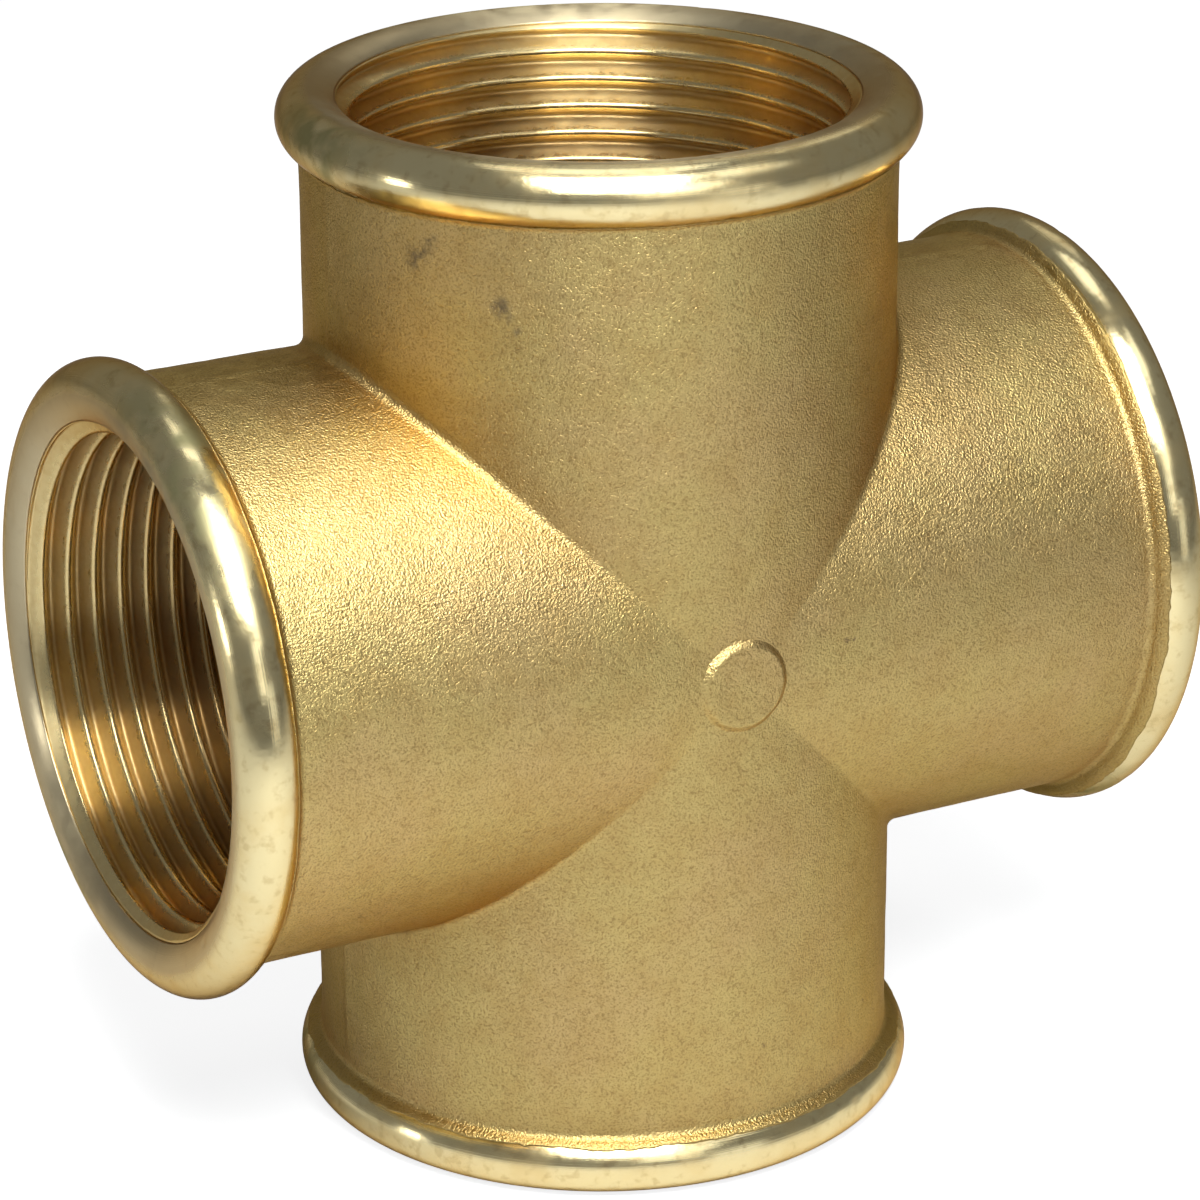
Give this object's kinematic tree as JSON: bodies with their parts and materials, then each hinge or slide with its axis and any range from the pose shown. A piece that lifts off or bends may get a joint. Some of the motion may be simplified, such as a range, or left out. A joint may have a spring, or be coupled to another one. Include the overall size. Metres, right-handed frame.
{
  "type": "pipe cross fitting",
  "caption": "Brass pipe cross with equal female-threaded ports at right angles in one plane, each with a bead around its mouth.",
  "frame": {"origin": "where the two bore axes cross, which is the centre of the bounding box", "axes": "+Z out of the top port, +X out of the right port, -Y towards the front, which carries the small raised pad"},
  "size_m": [0.0856, 0.0508, 0.0856],
  "materials": {
    "cast_skin": "fine sand-blasted skin, as forged, satin",
    "turned_brass": "bright turned and lightly polished, with handling marks and a little tarnish",
    "cut_thread": "bright cut thread"
  },
  "bodies": {
    "root": {"cast_body": "cast_skin", "top_rim": "turned_brass", "bottom_rim": "turned_brass", "left_rim": "turned_brass", "right_rim": "turned_brass", "top_thread": "cut_thread", "bottom_thread": "cut_thread", "left_thread": "cut_thread", "right_thread": "cut_thread"}
  },
  "joints": []
}
